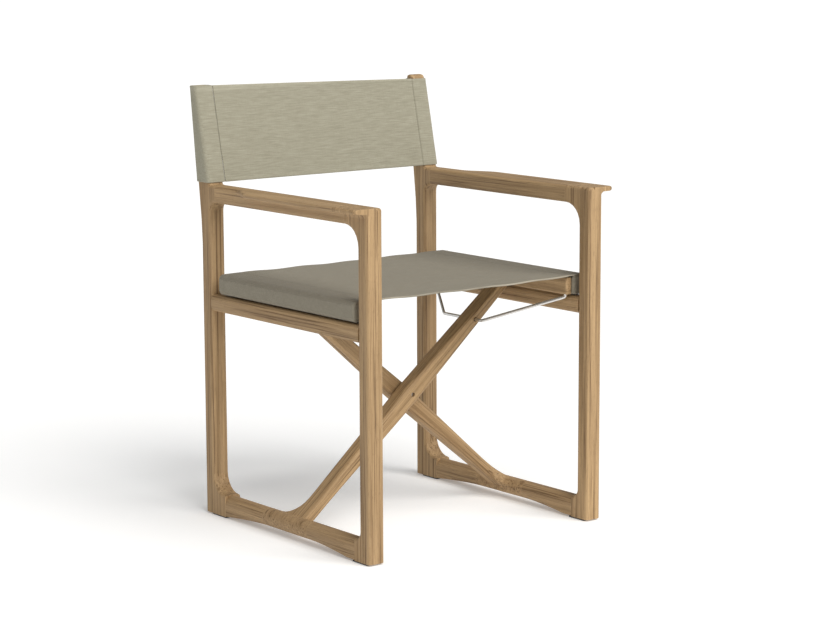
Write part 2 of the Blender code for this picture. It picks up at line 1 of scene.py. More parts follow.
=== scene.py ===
"""The detailed look of the folding director's chair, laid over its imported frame.

The wood, steel and plastic pieces are the frame's own, with procedural materials.  The seat and back
slings are built here as sewn cloth, with hems, seams and stitches.  Lengths are in metres, +Z is up and
the chair faces -Y.
"""

import math
import random

import bmesh
import bpy
from mathutils import Matrix, Vector, noise


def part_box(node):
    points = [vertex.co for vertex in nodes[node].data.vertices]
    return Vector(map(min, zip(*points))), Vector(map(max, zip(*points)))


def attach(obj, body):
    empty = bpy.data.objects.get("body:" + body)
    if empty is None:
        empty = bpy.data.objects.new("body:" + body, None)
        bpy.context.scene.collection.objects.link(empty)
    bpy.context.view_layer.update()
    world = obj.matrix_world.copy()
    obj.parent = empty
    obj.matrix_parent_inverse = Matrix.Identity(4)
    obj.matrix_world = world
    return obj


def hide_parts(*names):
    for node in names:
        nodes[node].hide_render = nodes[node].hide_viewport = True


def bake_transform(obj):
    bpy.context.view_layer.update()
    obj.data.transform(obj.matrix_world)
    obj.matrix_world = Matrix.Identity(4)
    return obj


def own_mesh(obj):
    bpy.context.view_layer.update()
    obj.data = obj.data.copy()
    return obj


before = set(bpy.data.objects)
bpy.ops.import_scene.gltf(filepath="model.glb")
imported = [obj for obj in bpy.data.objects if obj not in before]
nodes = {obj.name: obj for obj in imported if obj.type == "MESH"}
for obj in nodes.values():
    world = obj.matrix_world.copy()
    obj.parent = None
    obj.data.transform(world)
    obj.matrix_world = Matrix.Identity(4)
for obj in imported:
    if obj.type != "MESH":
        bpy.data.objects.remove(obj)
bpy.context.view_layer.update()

# Seat
SEAT_LOW, SEAT_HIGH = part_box("seat_sling")
CASING_LOW, CASING_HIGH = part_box("seat_casing_right")
BAR_LOW, BAR_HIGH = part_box("seat_bar_right")
SEAT_CLOTH = 0.0018
SEAT_SAG = 0.0016
CASING_ROUND = 0.0095
HEM_WIDTH = 0.014
HEM_EXTRA = 0.0009
HEM_SOFT = 0.0016
SEAT_STITCH_INSET = 0.0025
TOP_BAND = 0.004
# Strength of the painted highlight along the seat's front hem.
FRONT_HEM_HIGHLIGHT = 3.2

# Back
POCKET_LOW, POCKET_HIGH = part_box("back_pocket_right")
PANEL_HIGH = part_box("back_panel")[1]
BACK_CLOTH = 0.0016
BACK_BOW = 0.0030
BACK_HEM = 0.0055

BACK_STITCH_INSET = 0.0012
BACK_TOP_LEFT = 0.8295
BACK_TOP_RISE = 0.0095

STITCH_PITCH = 0.0042
STITCH_LENGTH = 0.0030
THREAD_RADIUS = 0.00030
SHARP_ANGLE = math.radians(62)
CAP_DEPTH = 0.0022
UPWARD = Vector((0, 0, 1))
FORWARD = Vector((0, -1, 0.2))

# Camera and light
CAMERA_PLACE = (-2.8355, -3.6699, 1.1553)
CAMERA_AZIMUTH, CAMERA_PITCH, CAMERA_ROLL = -38.2731, 9.2946, -0.2019
CAMERA_LENS = 103.88
LIGHT_TARGET = (0, 0, 0.35)
KEY_FROM = (0.25, -2.6, 3.0)
KEY_STRENGTH = 2.9
KEY_ANGLE = math.radians(48)
SKY_STRENGTH = 0.35
FLOOR_HALF = 60.0
FLOOR_GLOW = 0.20


# Node graphs

def new_material(name):
    made = bpy.data.materials.new(name)
    made.use_nodes = True
    return made, made.node_tree, made.node_tree.nodes["Principled BSDF"]


def add(tree, kind, settings=None, inputs=None):
    """A node with its settings; an input is a value or another node's output socket."""
    node = tree.nodes.new(kind)
    for key, value in (settings or {}).items():
        setattr(node, key, value)
    for key, value in (inputs or {}).items():
        if isinstance(value, bpy.types.NodeSocket):
            tree.links.new(value, node.inputs[key])
        else:
            node.inputs[key].default_value = value
    return node


def noise_at(tree, vector, scale, detail=3.0, rough=0.55, distortion=0.0):
    inputs = {"Vector": vector, "Scale": scale, "Detail": detail, "Roughness": rough}
    inputs["Distortion"] = distortion
    return add(tree, "ShaderNodeTexNoise", inputs=inputs).outputs["Fac"]


def stretched(tree, vector, scale):
    """The vector scaled by a different amount along each axis."""
    return add(tree, "ShaderNodeMapping", inputs={"Vector": vector, "Scale": scale}).outputs["Vector"]


def ramp(tree, factor, stops):
    """A colour ramp of (position, colour) stops."""
    node = add(tree, "ShaderNodeValToRGB", inputs={"Fac": factor})
    while len(node.color_ramp.elements) < len(stops):
        node.color_ramp.elements.new(0.5)
    for element, (position, colour) in zip(node.color_ramp.elements, stops):
        element.position = position
        element.color = (*colour, 1.0)
    return node.outputs["Color"]


def mix(tree, factor, first, second):
    """Two colours mixed; each is a colour or a socket."""
    node = add(tree, "ShaderNodeMix", {"data_type": "RGBA"})
    for socket, value in zip((node.inputs[0], node.inputs[6], node.inputs[7]), (factor, first, second)):
        if isinstance(value, bpy.types.NodeSocket):
            tree.links.new(value, socket)
        elif isinstance(value, tuple):
            socket.default_value = (*value, 1.0)
        else:
            socket.default_value = value
    return node.outputs[2]


def calc(tree, operation, first, second=0.0):
    return add(tree, "ShaderNodeMath", {"operation": operation}, {0: first, 1: second}).outputs[0]


def remap(tree, value, low, high, to_low=0.0, to_high=1.0):
    inputs = {"Value": value, "From Min": low, "From Max": high, "To Min": to_low, "To Max": to_high}
    return add(tree, "ShaderNodeMapRange", inputs=inputs).outputs["Result"]


def bump(tree, height, strength, distance):
    inputs = {"Height": height, "Strength": strength, "Distance": distance}
    return add(tree, "ShaderNodeBump", inputs=inputs).outputs["Normal"]


def worn_edges(tree, radius):
    """1 on the outward edges and 0 on the flats."""
    rounded = add(tree, "ShaderNodeBevel", {"samples": 4}, {"Radius": radius}).outputs["Normal"]
    plain = add(tree, "ShaderNodeNewGeometry").outputs["Normal"]
    node = add(tree, "ShaderNodeVectorMath", {"operation": "DOT_PRODUCT"}, {0: rounded, 1: plain})
    return remap(tree, node.outputs["Value"], 0.995, 0.90)


def edge_wear_and_hem_highlight(tree, point):
    """Wear on the cloth's own folded edges, and a painted highlight along the seat's front hem, which is made
    palest.
    """
    depth = add(tree, "ShaderNodeSeparateXYZ", inputs={"Vector": point}).outputs["Y"]
    # Painted highlight: a pale band along the front hem, palest at the very front edge.
    front = remap(tree, depth, SEAT_LOW.y + 0.0022, SEAT_LOW.y + 0.0008, 0.0, FRONT_HEM_HIGHLIGHT)
    return calc(tree, "MAXIMUM", worn_edges(tree, 0.003), front)


def paler_at_top_and_bottom(tree, point):
    """1 at the top and bottom edges of the back sling, where the cloth is made paler."""
    height = add(tree, "ShaderNodeSeparateXYZ", inputs={"Vector": point}).outputs["Z"]
    below = remap(tree, height, POCKET_LOW.z + 0.0030, POCKET_LOW.z)
    above = remap(tree, height, POCKET_HIGH.z - 0.0030, POCKET_HIGH.z)
    return calc(tree, "MAXIMUM", below, above)


def teak(name, turn, seed):
    """Teak with its grain along one direction; turn is the rotation that brings the grain onto X."""
    made, tree, shader = new_material(name)
    chance = random.Random(seed)
    point = add(tree, "ShaderNodeTexCoord").outputs["Object"]
    offset = [chance.uniform(-3, 3) for _ in range(3)]
    grain = add(tree, "ShaderNodeMapping", inputs={"Vector": point, "Rotation": turn, "Location": offset})
    along = grain.outputs["Vector"]
    drift = noise_at(tree, stretched(tree, along, (2.0, 9.0, 9.0)), 1.0, 2.0)
    figure = noise_at(tree, stretched(tree, along, (2.2, 95.0, 95.0)), 1.0, 3.0, 0.55, 0.5)
    veins = noise_at(tree, stretched(tree, along, (3.4, 260.0, 260.0)), 1.0, 4.0, 0.58, 0.35)
    streaks = noise_at(tree, stretched(tree, along, (9.0, 620.0, 620.0)), 1.0, 4.0, 0.62, 0.2)
    fibres = noise_at(tree, stretched(tree, along, (45.0, 2300.0, 2300.0)), 1.0, 3.0, 0.6)
    pores = remap(tree, noise_at(tree, stretched(tree, along, (75.0, 1900.0, 1900.0)), 1.0, 1.0), 0.63, 0.74)

    warm = chance.uniform(0.94, 1.05)
    pale = (0.540 * warm, 0.360 * warm, 0.185 * warm)
    middle = (0.405 * warm, 0.262 * warm, 0.129 * warm)
    dark = (0.235 * warm, 0.140 * warm, 0.062 * warm)
    vein = (0.120, 0.066, 0.027)
    colour = ramp(tree, figure, [(0.30, dark), (0.44, middle), (0.66, pale)])
    colour = mix(tree, remap(tree, streaks, 0.40, 0.66, 0.0, 0.62), colour, dark)
    colour = mix(tree, remap(tree, fibres, 0.40, 0.75, 0.0, 0.25), colour, pale)
    colour = mix(tree, remap(tree, drift, 0.40, 0.66, 0.0, 0.30), colour, (0.345, 0.235, 0.130))
    colour = mix(tree, remap(tree, veins, 0.545, 0.640, 0.0, 0.74), colour, vein)
    colour = mix(tree, calc(tree, "MULTIPLY", pores, 0.60), colour, vein)
    pale_edges = worn_edges(tree, 0.0035)
    patchy = noise_at(tree, along, 22.0, 3.0)
    pale_share = calc(tree, "MULTIPLY", pale_edges, remap(tree, patchy, 0.38, 0.62, 0.05, 0.42))
    colour = mix(tree, pale_share, colour, (0.52, 0.37, 0.21))
    tree.links.new(colour, shader.inputs["Base Color"])
    rough = remap(tree, streaks, 0.3, 0.7, 0.50, 0.64)
    rough = calc(tree, "SUBTRACT", rough, calc(tree, "MULTIPLY", pale_share, 0.15))
    tree.links.new(rough, shader.inputs["Roughness"])
    shader.inputs["Specular IOR Level"].default_value = 0.32
    relief = calc(tree, "SUBTRACT", calc(tree, "ADD", streaks, calc(tree, "MULTIPLY", fibres, 0.5)), pores)
    tree.links.new(bump(tree, relief, 0.35, 0.00022), shader.inputs["Normal"])
    return made


def weave(name, colours, across, counts, slub, pale_edges):
    """Plain-woven cloth.  across is the rotation that brings the weft onto X and the warp onto Y.

    counts are the threads per metre of weft and warp, and slub how strongly the weft varies along its length.
    The last argument, a function of (tree, point), is 1 where the cloth is made paler: on the seat, wear on
    its folded edges and a painted highlight along its front hem; on the back, its top and bottom edges.
    """
    made, tree, shader = new_material(name)
    point = add(tree, "ShaderNodeTexCoord").outputs["Object"]
    cloth = add(tree, "ShaderNodeMapping", inputs={"Vector": point, "Rotation": across}).outputs["Vector"]
    parts = add(tree, "ShaderNodeSeparateXYZ", inputs={"Vector": cloth})
    wander = noise_at(tree, cloth, 60.0, 2.0)
    rows = []
    for axis, count in (("Y", counts[0]), ("X", counts[1])):
        moved = calc(tree, "ADD", parts.outputs[axis], calc(tree, "MULTIPLY", wander, 0.0009))
        rows.append(calc(tree, "MULTIPLY", moved, count * math.pi))
    weft = calc(tree, "ABSOLUTE", calc(tree, "SINE", rows[0]))
    warp = calc(tree, "ABSOLUTE", calc(tree, "SINE", rows[1]))
    over = calc(tree, "MULTIPLY", calc(tree, "SINE", rows[0]), calc(tree, "SINE", rows[1]))
    thread = calc(tree, "MULTIPLY", calc(tree, "ADD", weft, warp), 0.5)
    long_yarn = noise_at(tree, stretched(tree, cloth, (34.0, 520.0, 520.0)), 1.0, 3.0, 0.6)
    short_yarn = noise_at(tree, stretched(tree, cloth, (520.0, 70.0, 70.0)), 1.0, 3.0, 0.6)
    fleck = noise_at(tree, cloth, 1500.0, 2.0, 0.6)
    cloud = noise_at(tree, stretched(tree, cloth, (7.0, 12.0, 12.0)), 1.0, 3.0)

    dark, middle, pale = colours
    colour = ramp(tree, long_yarn, [(0.28, dark), (0.50, middle), (0.70, pale)])
    plain = mix(tree, 1.0 - slub, colour, middle)
    colour = mix(tree, remap(tree, short_yarn, 0.35, 0.7, 0.0, 0.30), plain, dark)
    colour = mix(tree, remap(tree, fleck, 0.45, 0.75, 0.0, 0.35), colour, pale)
    colour = mix(tree, remap(tree, cloud, 0.40, 0.65, 0.0, 0.22), colour, middle)
    gaps = remap(tree, thread, 0.15, 0.75, 0.35, 0.0)
    colour = mix(tree, gaps, colour, tuple(0.55 * c for c in dark))
    # Paler where the mask is 1: worn edges, and on the seat a painted highlight along the front hem.
    pale_share = calc(tree, "MULTIPLY", pale_edges(tree, point), remap(tree, cloud, 0.4, 0.6, 0.10, 0.32))
    colour = mix(tree, pale_share, colour, tuple(min(1.0, 1.25 * c) for c in pale))
    tree.links.new(colour, shader.inputs["Base Color"])
    tree.links.new(remap(tree, thread, 0.0, 1.0, 0.95, 0.80), shader.inputs["Roughness"])
    shader.inputs["Specular IOR Level"].default_value = 0.18
    shader.inputs["Sheen Weight"].default_value = 0.12
    shader.inputs["Sheen Roughness"].default_value = 0.5
    relief = calc(tree, "ADD", calc(tree, "ADD", thread, calc(tree, "MULTIPLY", over, 0.4)), long_yarn)
    tree.links.new(bump(tree, relief, 0.55, 0.00035), shader.inputs["Normal"])
    return made


def thread_material(name, colour):
    made, tree, shader = new_material(name)
    point = add(tree, "ShaderNodeTexCoord").outputs["Object"]
    fibre = noise_at(tree, point, 2600.0, 2.0)
    tree.links.new(mix(tree, fibre, tuple(0.72 * c for c in colour), colour), shader.inputs["Base Color"])
    tree.links.new(bump(tree, fibre, 0.4, 0.0001), shader.inputs["Normal"])
    shader.inputs["Roughness"].default_value = 0.7
    return made


def steel(name, turn):
    """Drawn stainless steel, with fine lines along the rod."""
    made, tree, shader = new_material(name)
    point = add(tree, "ShaderNodeTexCoord").outputs["Object"]
    along = add(tree, "ShaderNodeMapping", inputs={"Vector": point, "Rotation": turn}).outputs["Vector"]
    lines = noise_at(tree, stretched(tree, along, (30.0, 2600.0, 2600.0)), 1.0, 3.0)
    stains = noise_at(tree, along, 40.0, 3.0)
    colour = mix(tree, remap(tree, stains, 0.4, 0.7, 0.0, 0.5), (0.80, 0.79, 0.77), (0.66, 0.65, 0.63))
    tree.links.new(mix(tree, remap(tree, lines, 0.4, 0.6, 0.0, 0.3), colour, (0.50, 0.50, 0.50)),
                   shader.inputs["Base Color"])
    shader.inputs["Metallic"].default_value = 1.0
    tree.links.new(remap(tree, lines, 0.3, 0.7, 0.22, 0.38), shader.inputs["Roughness"])
    tree.links.new(bump(tree, lines, 0.15, 0.00005), shader.inputs["Normal"])
    return made


def moulded(name, colour, scuff):
    """Moulded plastic with a fine grain and scuffed edges."""
    made, tree, shader = new_material(name)
    point = add(tree, "ShaderNodeTexCoord").outputs["Object"]
    grain = noise_at(tree, point, 1800.0, 2.0)
    patches = noise_at(tree, point, 120.0, 3.0)
    base = mix(tree, remap(tree, patches, 0.4, 0.65, 0.0, 0.5), colour, tuple(0.8 * c for c in colour))
    pale_edges = calc(tree, "MULTIPLY", worn_edges(tree, 0.0012), 0.5)
    tree.links.new(mix(tree, pale_edges, base, scuff), shader.inputs["Base Color"])
    tree.links.new(remap(tree, patches, 0.35, 0.65, 0.42, 0.60), shader.inputs["Roughness"])
    tree.links.new(bump(tree, grain, 0.25, 0.00008), shader.inputs["Normal"])
    return made


# Cloth meshes

def mesh_piece(name, bm, finish):
    bmesh.ops.recalc_face_normals(bm, faces=bm.faces)
    mesh = bpy.data.meshes.new(name)
    bm.to_mesh(mesh)
    bm.free()
    mesh.shade_smooth()
    mesh.set_sharp_from_angle(angle=SHARP_ANGLE)
    mesh.materials.append(finish)
    made = bpy.data.objects.new(name, mesh)
    bpy.context.scene.collection.objects.link(made)
    return made


def unit(vector):
    return vector.normalized() if vector.length > 1e-12 else Vector((0, 0, 1))


def grid_normals(grid, closed):
    """The normal at each point of a grid of rows, where a closed grid's rows join end to end."""
    rows, columns = len(grid), len(grid[0])
    normals = []
    for i in range(rows):
        line = []
        for j in range(columns):
            up = grid[min(i + 1, rows - 1)][j] - grid[max(i - 1, 0)][j]
            ahead = (j + 1) % columns if closed else min(j + 1, columns - 1)
            behind = j - 1 if closed else max(j - 1, 0)
            line.append(unit(up.cross(grid[i][ahead] - grid[i][behind])))
        normals.append(line)
    return normals


def cloth_solid(name, grid, thickness, finish, closed=False, round_rims=(True, True, True, True)):
    """A closed sheet of cloth about a grid of middle points.

    thickness(i, j) gives the cloth below and above the middle.  round_rims says whether the first row's, last
    row's, first column's and last column's rims are rounded; the others end flat.
    """
    rows, columns = len(grid), len(grid[0])
    normals = grid_normals(grid, closed)
    bm = bmesh.new()
    sides = []
    for side in (0, 1):
        layer = []
        for i in range(rows):
            line = []
            for j in range(columns):
                amount = thickness(i, j)[side] * (1 if side else -1)
                line.append(bm.verts.new(grid[i][j] + normals[i][j] * amount))
            layer.append(line)
        sides.append(layer)
    span = columns if closed else columns - 1
    for layer in sides:
        for i in range(rows - 1):
            for j in range(span):
                k = (j + 1) % columns
                bm.faces.new((layer[i][j], layer[i][k], layer[i + 1][k], layer[i + 1][j]))

    def rim(ids, inner_ids, rounded):
        low = [sides[0][i][j] for i, j in ids]
        high = [sides[1][i][j] for i, j in ids]
        if rounded:
            middle = []
            for (i, j), (m, n) in zip(ids, inner_ids):
                out = unit(grid[i][j] - grid[m][n])
                depth = sum(thickness(i, j)) / 2
                middle.append(bm.verts.new(grid[i][j] + out * depth))
            strips = ((low, middle), (middle, high))
        else:
            strips = ((low, high),)
        for first, second in strips:
            for k in range(len(first) - 1):
                bm.faces.new((first[k], first[k + 1], second[k + 1], second[k]))
            if closed:
                bm.faces.new((first[-1], first[0], second[0], second[-1]))
        return middle if rounded else None

    def row(i):
        return [(i, j) for j in range(columns)]

    def column(j):
        return [(i, j) for i in range(rows)]

    first = rim(row(0), row(1), round_rims[0])
    last = rim(row(rows - 1), row(rows - 2), round_rims[1])
    if not closed:
        left = rim(column(0), column(1), round_rims[2])
        right = rim(column(columns - 1), column(columns - 2), round_rims[3])
        for row_rim, column_rim, i, j, row_end, column_end in (
            (first, left, 0, 0, 0, 0),
            (first, right, 0, columns - 1, -1, 0),
            (last, left, rows - 1, 0, 0, -1),
            (last, right, rows - 1, columns - 1, -1, -1),
        ):
            low, high = sides[0][i][j], sides[1][i][j]
            corner = [v[k] for v, k in ((row_rim, row_end), (column_rim, column_end)) if v]
            if len(corner) == 2:
                bm.faces.new((low, corner[0], corner[1]))
                bm.faces.new((high, corner[0], corner[1]))
            elif len(corner) == 1:
                bm.faces.new((low, high, corner[0]))
    return mesh_piece(name, bm, finish)


def stitch_line(name, points, facing, finish):
    """Short raised stitches along a line of points on cloth that faces one way."""
    bm = bmesh.new()
    out = facing.normalized()
    travelled = 0.0
    due = STITCH_PITCH / 2
    for k in range(len(points) - 1):
        start, end = points[k], points[k + 1]
        length = (end - start).length
        direction = (end - start) / max(length, 1e-9)
        while due <= travelled + length:
            middle = start + direction * (due - travelled)
            side = direction.cross(out)
            rings = []
            for step in range(5):
                t = step / 4
                lift = THREAD_RADIUS * (0.9 * math.sin(math.pi * t) - 0.3)
                size = THREAD_RADIUS * (0.35 + 0.65 * math.sin(math.pi * min(0.95, max(0.05, t))))
                centre = middle + direction * STITCH_LENGTH * (t - 0.5) + out * lift
                rings.append([
                    bm.verts.new(centre + (side * math.cos(a) + out * math.sin(a)) * size)
                    for a in (math.tau * n / 6 for n in range(6))
                ])
            for low, high in zip(rings, rings[1:]):
                for n in range(6):
                    bm.faces.new((low[n - 1], low[n], high[n], high[n - 1]))
            bm.faces.new(rings[0])
            bm.faces.new(rings[-1])
            due += STITCH_PITCH
        travelled += length
    return mesh_piece(name, bm, finish)


def even(points, step):
    """The polyline with points added so that none are further apart than step."""
    made = [points[0]]
    for a, b in zip(points, points[1:]):
        count = max(1, math.ceil((b - a).length / step))
        made += [a.lerp(b, k / count) for k in range(1, count + 1)]
    return made


def corner(centre, radius, first, last, steps=6):
    """Points round a corner between two angles in degrees."""
    turn = [math.radians(first + (last - first) * k / steps) for k in range(steps + 1)]
    return [Vector((centre[0] + radius * math.cos(a), centre[1] + radius * math.sin(a))) for a in turn]


def side_name(side):
    return "right" if side > 0 else "left"


def length_of(points):
    return sum((b - a).length for a, b in zip(points, points[1:]))


# Seat sling

def seat_profile():
    """The middle of the seat's cloth in the front view, from inside one casing to inside the other."""
    half = SEAT_CLOTH / 2
    inner = CASING_LOW.x + half
    outer = CASING_HIGH.x - half
    low = CASING_LOW.z + half
    top = SEAT_HIGH.z - half
    big = CASING_ROUND
    small = 0.006
    right = [Vector((inner, top - SEAT_CLOTH - 0.0006))]
    right += corner((inner + small, low + small), small, 180, 270)
    right += corner((outer - big, low + big), big, 270, 360)
    right += corner((outer - big, top - big), big, 0, 90)
    left = [Vector((-p.x, p.y)) for p in reversed(right)]
    return even(right + left, 0.006)


def seat_drop(x, y):
    """How far the cloth hangs below the line between its bars, with faint pulls near them."""
    reach = BAR_LOW.x - 0.004
    if abs(x) >= reach:
        return 0.0
    across = 1.0 - (x / reach) ** 2
    pull = noise.noise(Vector((x * 14.0, y * 40.0, 0.7))) * 0.0005
    broad = noise.noise(Vector((x * 9.0, y * 7.0, 3.1))) * 0.0009
    return (SEAT_SAG + broad) * across + pull * min(1.0, across * 3.0)


def seat_rows():
    """The Y of each row, closer together at the hems."""
    low, high = SEAT_LOW.y, SEAT_HIGH.y
    fine = [0.0, 0.0012, 0.0030, 0.0060, 0.0095, 0.0118, 0.0132, HEM_WIDTH, 0.0155, 0.0180]
    rows = [low + 0.0009 + d for d in fine]
    count = 76
    start, stop = low + 0.0235, high - 0.0235
    rows += [start + (stop - start) * k / count for k in range(count + 1)]
    rows += [high - 0.0009 - d for d in reversed(fine)]
    return rows


def hem_share(distance, width):
    """1 inside a hem and 0 beyond it, with a soft step."""
    return min(1.0, max(0.0, (width - distance) / HEM_SOFT + 0.5))


def seat_cloth(finish, thread):
    profile = seat_profile()
    rows = seat_rows()
    front, rear = SEAT_LOW.y, SEAT_HIGH.y
    casing_front, casing_rear = CASING_LOW.y, CASING_HIGH.y
    grid = []
    for y in rows:
        share = (y - front) / (rear - front)
        line = []
        for p in profile:
            on_side = abs(p.x) > BAR_HIGH.x - 0.002
            place_y = y
            if on_side and p.y < SEAT_HIGH.z - TOP_BAND:
                place_y = casing_front + (casing_rear - casing_front) * share
            elif on_side:
                down = min(1.0, max(0.0, (abs(p.x) - BAR_HIGH.x) / 0.030))
                place_y = y + (casing_front + (casing_rear - casing_front) * share - y) * down
            wave = 0.0
            if abs(p.x) < BAR_LOW.x:
                edge = min(y - front, rear - y)
                wave = 0.0007 * math.sin(p.x * 55.0) * math.exp(-edge / 0.02)
            line.append(Vector((p.x, place_y, p.y - seat_drop(p.x, y) + wave)))
        grid.append(line)

    def thickness(i, j):
        distance = min(rows[i] - front, rear - rows[i])
        hem = hem_share(distance, HEM_WIDTH)
        dent = 0.00035 * math.exp(-((distance - HEM_WIDTH + SEAT_STITCH_INSET) / 0.0012) ** 2)
        on_top = abs(profile[j].x) < BAR_LOW.x
        below = SEAT_CLOTH / 2 + (HEM_EXTRA * hem if on_top else 0.0)
        return below, SEAT_CLOTH / 2 + 0.0002 * hem - dent

    cloth = cloth_solid("seat_cloth", grid, thickness, finish)
    flat = (length_of(profile), rear - front)
    stitches = []
    top = [k for k, p in enumerate(profile) if p.y > SEAT_HIGH.z - TOP_BAND]
    hem_lines = (
        ("front", front + HEM_WIDTH - SEAT_STITCH_INSET),
        ("rear", rear - HEM_WIDTH + SEAT_STITCH_INSET),
    )
    for label, y in hem_lines:
        points = [
            Vector((profile[k].x, y, SEAT_HIGH.z - 0.0004 - seat_drop(profile[k].x, y))) for k in top
        ]
        stitches.append(stitch_line(f"seat_stitches_{label}", points, UPWARD, thread))
    for side in (-1, 1):
        x = side * (BAR_LOW.x + 0.0015)
        ys = [front + 0.004 + (rear - front - 0.008) * k / 60 for k in range(61)]
        points = [Vector((x, y, SEAT_HIGH.z)) for y in ys]
        stitches.append(stitch_line(f"seat_stitches_{side_name(side)}", points, UPWARD, thread))
    return cloth, flat, stitches


def seat_caps(side, finish):
    """The cloth folded over both ends of one casing, in front of the batten's ends."""
    half_x = (CASING_HIGH.x - CASING_LOW.x) / 2
    half_z = (CASING_HIGH.z - CASING_LOW.z) / 2
    middle = Vector((side * (CASING_LOW.x + half_x), (CASING_LOW.z + CASING_HIGH.z) / 2))
    caps = []
    for label, end, out in (("front", CASING_LOW.y, -1), ("rear", CASING_HIGH.y, 1)):
        bm = bmesh.new()
        rings = []
        for inset, depth in ((0.0023, -0.0016), (0.0010, -0.0012), (0.0004, 0.0000), (0.0010, 0.0012),
                             (0.0030, CAP_DEPTH), (0.0070, CAP_DEPTH + 0.0006)):
            radius = max(0.0030, CASING_ROUND - inset)
            outline = []
            for angle, sign in ((0, (1, 1)), (90, (-1, 1)), (180, (-1, -1)), (270, (1, -1))):
                centre = (sign[0] * (half_x - inset - radius), sign[1] * (half_z - inset - radius))
                outline += corner(centre, radius, angle, angle + 90, 5)
            rings.append([bm.verts.new((middle.x + p.x, end + out * depth, middle.y + p.y)) for p in outline])
        for low, high in zip(rings, rings[1:]):
            for k in range(len(low)):
                bm.faces.new((low[k - 1], low[k], high[k], high[k - 1]))
        bm.faces.new(rings[0])
        bm.faces.new(rings[-1])
        caps.append(mesh_piece(f"seat_end_{label}_{side_name(side)}", bm, finish))
    return caps


# Back sling

def post_line(edge, z):
    """The Y of the post's front or rear edge at a height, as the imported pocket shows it."""
    verts = nodes["back_pocket_right"].data.vertices
    low = [v.co.y for v in verts if v.co.z < POCKET_LOW.z + 0.001]
    high = [v.co.y for v in verts if v.co.z > POCKET_HIGH.z - 0.001]
    pick = min if edge == "front" else max
    share = (z - POCKET_LOW.z) / (POCKET_HIGH.z - POCKET_LOW.z)
    return pick(low) + (pick(high) - pick(low)) * share


def back_top(x):
    """The height of the sling's top edge, which sits a little higher on the sitter's right."""
    return BACK_TOP_LEFT + BACK_TOP_RISE * (0.5 - x / (2 * POCKET_HIGH.x))


def back_levels(x):
    """Shares of the sling's height, closer together at the hems."""
    low, high = POCKET_LOW.z, back_top(x)
    fine = [0.0, 0.0009, 0.0022, 0.0036, 0.0047, BACK_HEM, 0.0066, 0.0085]
    count = 30
    levels = [low + 0.0008 + d for d in fine]
    start, stop = low + 0.0125, high - 0.0125
    levels += [start + (stop - start) * k / count for k in range(count + 1)]
    levels += [high - 0.0008 - d for d in reversed(fine)]
    return levels


def back_hem(z, x):
    distance = min(z - POCKET_LOW.z, back_top(x) - z)
    dent = 0.0003 * math.exp(-((distance - BACK_HEM + BACK_STITCH_INSET) / 0.0009) ** 2)
    return hem_share(distance, BACK_HEM), dent


def pocket_loop(z, side):
    """The middle of the pocket's cloth round the post, in plan; it is flat in front as far as its seam."""
    half = BACK_CLOTH / 2
    outer = POCKET_HIGH.x - half
    inner = POCKET_LOW.x + half
    front = post_line("front", z) + half
    rear = post_line("rear", z) - half
    big = min(0.0078, (rear - front) / 2 - 0.0005)
    tight = 0.0016
    loop = corner((inner + tight, front + tight), tight, 180, 270, 3)
    loop += corner((outer - big, front + big), big, 270, 360)
    loop += corner((outer - big, rear - big), big, 0, 90)
    loop += corner((inner + big, rear - big), big, 90, 180)
    return [Vector((side * p.x, p.y)) for p in loop]


def filled(loop, counts):
    """The loop with a fixed number of points added on each straight part."""
    made = []
    for k, p in enumerate(loop):
        made.append(p)
        ahead = loop[(k + 1) % len(loop)]
        for n in range(1, counts.get(k, 1)):
            made.append(p.lerp(ahead, n / counts[k]))
    return made


def back_pocket(side, finish, thread):
    name = side_name(side)
    x = side * (POCKET_LOW.x + POCKET_HIGH.x) / 2
    levels = back_levels(x)
    grid = []
    for z in levels:
        loop = filled(pocket_loop(z, side), {3: 10, 10: 4, 17: 10, 24: 6})
        grid.append([
            Vector((p.x, p.y + noise.noise(Vector((p.x * 60, p.y * 60, z * 18))) * 0.0003, z)) for p in loop
        ])

    def thickness(i, j):
        hem, dent = back_hem(levels[i], x)
        return BACK_CLOTH / 2, BACK_CLOTH / 2 + 0.0003 * hem - dent

    pocket = cloth_solid(f"back_pocket_cloth_{name}", grid, thickness, finish, closed=True)
    perimeter = length_of(grid[0] + grid[0][:1])
    seam = side * (POCKET_LOW.x + 0.0024)
    points = []
    for z in levels[2:-2]:
        points.append(Vector((seam, post_line("front", z), z)))
    stitches = stitch_line(f"back_seam_stitches_{name}", points, FORWARD, thread)
    return pocket, (perimeter, levels[-1] - levels[0]), stitches


def panel_y(x, z):
    """The front of the back panel: level with the pockets at its ends and bowed back between them."""
    half = PANEL_HIGH.x
    across = 1.0 - (x / half) ** 2
    ripple = noise.noise(Vector((x * 10.0, 0.3, z * 9.0))) * 0.0011
    pull = noise.noise(Vector((abs(x) * 26.0, 5.0, z * 60.0))) * 0.0005 * math.exp(-(half - abs(x)) / 0.03)
    return post_line("front", z) + 0.0005 + BACK_BOW * across + ripple * across + pull


